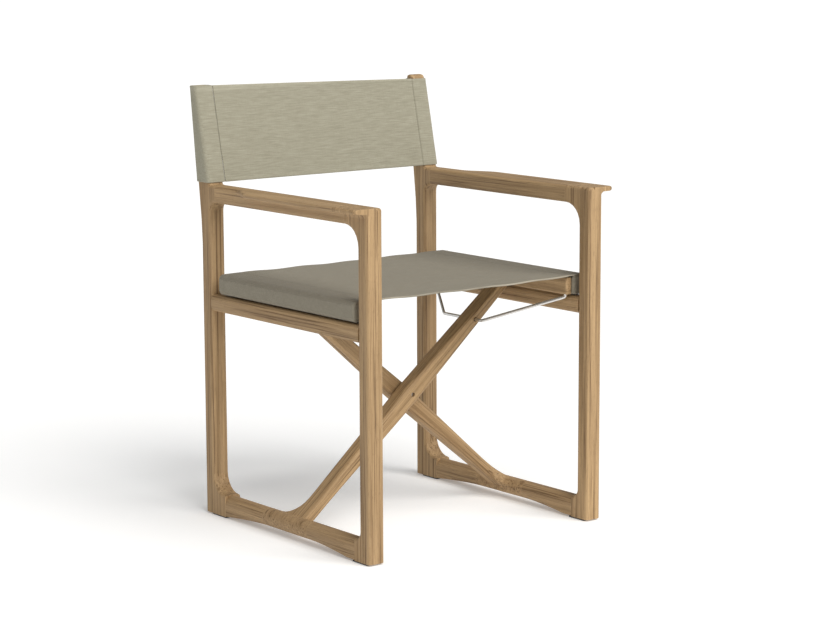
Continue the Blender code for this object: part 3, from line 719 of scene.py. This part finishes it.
def panel_half(side, finish, thread):
    """Half of the back panel, from its pocket to the middle, where it meets the other half without a seam."""
    name = side_name(side)
    xs = [side * PANEL_HIGH.x * (1 - k / 60) for k in range(61)]
    grid = []
    for k in range(len(back_levels(0.0))):
        line = []
        for x in xs:
            z = back_levels(x)[k]
            line.append(Vector((x, panel_y(x, z) + BACK_CLOTH / 2, z)))
        grid.append(line)

    def thickness(i, j):
        hem, dent = back_hem(grid[i][j].z, grid[i][j].x)
        extra = 0.0006 * hem
        sides = (BACK_CLOTH / 2 + extra, BACK_CLOTH / 2 + 0.0002 * hem - dent)
        return sides if side < 0 else (sides[1], sides[0])

    rims = (True, True, False, False)
    panel = cloth_solid(f"back_panel_cloth_{name}", grid, thickness, finish, round_rims=rims)
    flat = (PANEL_HIGH.x, grid[-1][0].z - grid[0][0].z)
    stitches = []
    for label in ("top", "bottom"):
        points = []
        for x in xs:
            if label == "top":
                z = back_top(x) - BACK_HEM + BACK_STITCH_INSET
            else:
                z = POCKET_LOW.z + BACK_HEM - BACK_STITCH_INSET
            points.append(Vector((x, panel_y(x, z) + 0.0003, z)))
        stitches.append(stitch_line(f"back_hem_stitches_{label}_{name}", points, FORWARD, thread))
    return panel, flat, stitches


# Materials of the frame's own pieces

def paint(node, finish):
    node.data.materials.clear()
    node.data.materials.append(finish)


def grain_turn(name):
    """The rotation that brings a wooden piece's length onto X."""
    if name == "cross_leg_front":
        return (0.0, math.radians(40), 0.0)
    if name == "cross_leg_rear":
        return (0.0, math.radians(140), 0.0)
    if name.startswith(("front_leg", "rear_leg")):
        return (0.0, math.radians(90), 0.0)
    return (0.0, 0.0, math.radians(-90))


def paint_frame():
    steel_along_y = steel("steel_along_y", (0.0, 0.0, math.radians(-90)))
    steel_along_x = steel("steel_along_x", (0.0, 0.0, 0.0))
    nylon = moulded("nylon_natural", (0.60, 0.58, 0.53), (0.75, 0.74, 0.70))
    black = moulded("glide_black", (0.018, 0.018, 0.019), (0.07, 0.07, 0.07))
    wooden = ("front_leg", "rear_leg", "arm", "stretcher", "runner", "cross_leg", "seat_bar", "seat_batten")
    for seed, (name, node) in enumerate(sorted(nodes.items())):
        if name.startswith(wooden):
            paint(node, teak(f"teak_{name}", grain_turn(name), seed))
        elif name.startswith("batten_screw"):
            paint(node, steel_along_x)
        elif name.startswith(("axle", "brace", "centre_pin")):
            paint(node, steel_along_y)
        elif name.startswith(("bush", "centre_washer")):
            paint(node, nylon)
        elif name.startswith("glide"):
            paint(node, black)


# Camera, floor and light

def camera():
    azimuth, pitch, roll = (math.radians(a) for a in (CAMERA_AZIMUTH, CAMERA_PITCH, CAMERA_ROLL))
    right = Vector((math.cos(azimuth), math.sin(azimuth), 0))
    back = Vector((
        math.sin(azimuth) * math.cos(pitch), -math.cos(azimuth) * math.cos(pitch), math.sin(pitch)
    ))
    up = back.cross(right)
    turned_right = right * math.cos(roll) + up * math.sin(roll)
    turned_up = up * math.cos(roll) - right * math.sin(roll)
    data = bpy.data.cameras.new("camera")
    data.sensor_width = 36.0
    data.lens = CAMERA_LENS
    made = bpy.data.objects.new("camera", data)
    bpy.context.scene.collection.objects.link(made)
    made.matrix_world = Matrix.Translation(CAMERA_PLACE) @ Matrix(
        (turned_right, turned_up, back)
    ).transposed().to_4x4()
    bpy.context.scene.camera = made


def floor():
    bm = bmesh.new()
    bmesh.ops.create_grid(bm, x_segments=1, y_segments=1, size=FLOOR_HALF)
    made, tree, shader = new_material("floor")
    point = add(tree, "ShaderNodeTexCoord").outputs["Object"]
    faint = noise_at(tree, point, 6.0, 3.0)
    tree.links.new(mix(tree, faint, (0.90, 0.90, 0.90), (0.91, 0.91, 0.905)), shader.inputs["Base Color"])
    shader.inputs["Roughness"].default_value = 0.9
    shader.inputs["Specular IOR Level"].default_value = 0.05
    shader.inputs["Emission Color"].default_value = (1.0, 1.0, 1.0, 1.0)
    shader.inputs["Emission Strength"].default_value = FLOOR_GLOW
    mesh_piece("floor", bm, made)


def light(name, kind, direction, strength, **settings):
    """A light that shines from a direction towards the chair."""
    data = bpy.data.lights.new(name, kind)
    data.energy = strength
    for key, value in settings.items():
        setattr(data, key, value)
    made = bpy.data.objects.new(name, data)
    made.location = Vector(direction)
    made.rotation_mode = "QUATERNION"
    made.rotation_quaternion = (Vector(LIGHT_TARGET) - Vector(direction)).to_track_quat("-Z", "Y")
    bpy.context.scene.collection.objects.link(made)


def lights():
    world = bpy.data.worlds.new("studio")
    world.use_nodes = True
    world.node_tree.nodes["Background"].inputs["Color"].default_value = (0.97, 0.985, 1.0, 1.0)
    world.node_tree.nodes["Background"].inputs["Strength"].default_value = SKY_STRENGTH
    bpy.context.scene.world = world
    light("key", "SUN", KEY_FROM, KEY_STRENGTH, angle=KEY_ANGLE, color=(1.0, 0.985, 0.96))
    bpy.context.scene.view_settings.view_transform = "Standard"



# The seat's cloth: worn folded edges, and a painted highlight along the front hem.
seat_finish = weave(
    "seat_weave", ((0.190, 0.169, 0.125), (0.272, 0.243, 0.184), (0.360, 0.326, 0.255)),
    (0.0, 0.0, 0.0), (950.0, 1150.0), 0.55, edge_wear_and_hem_highlight,
)
back_finish = weave(
    "back_weave", ((0.268, 0.250, 0.184), (0.348, 0.328, 0.248), (0.425, 0.402, 0.312)),
    (math.radians(-90), 0.0, 0.0), (1150.0, 1000.0), 0.90, paler_at_top_and_bottom,
)
seat_thread = thread_material("seat_thread", (0.27, 0.24, 0.18))
back_thread = thread_material("back_thread", (0.33, 0.31, 0.23))

paint_frame()

seat, seat_flat, seat_stitches = seat_cloth(seat_finish, seat_thread)
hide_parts("seat_sling", "seat_casing_left", "seat_casing_right")
for piece in (seat, *seat_stitches):
    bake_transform(piece)

for side, label in ((-1, "left"), (1, "right")):
    pocket, pocket_flat, seam = back_pocket(side, back_finish, back_thread)
    panel, panel_flat, hems = panel_half(side, back_finish, back_thread)
    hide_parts(f"back_pocket_{label}")
    if side < 0:
        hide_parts("back_panel")
    for piece in (pocket, seam, panel, *hems):
        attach(piece, f"{label}_frame")
    for piece in (panel, *hems):
        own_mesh(piece)

for side, label, body in ((-1, "left", "rear_cross"), (1, "right", "front_cross")):
    for cap in seat_caps(side, seat_finish):
        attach(cap, body)

floor()
camera()
lights()
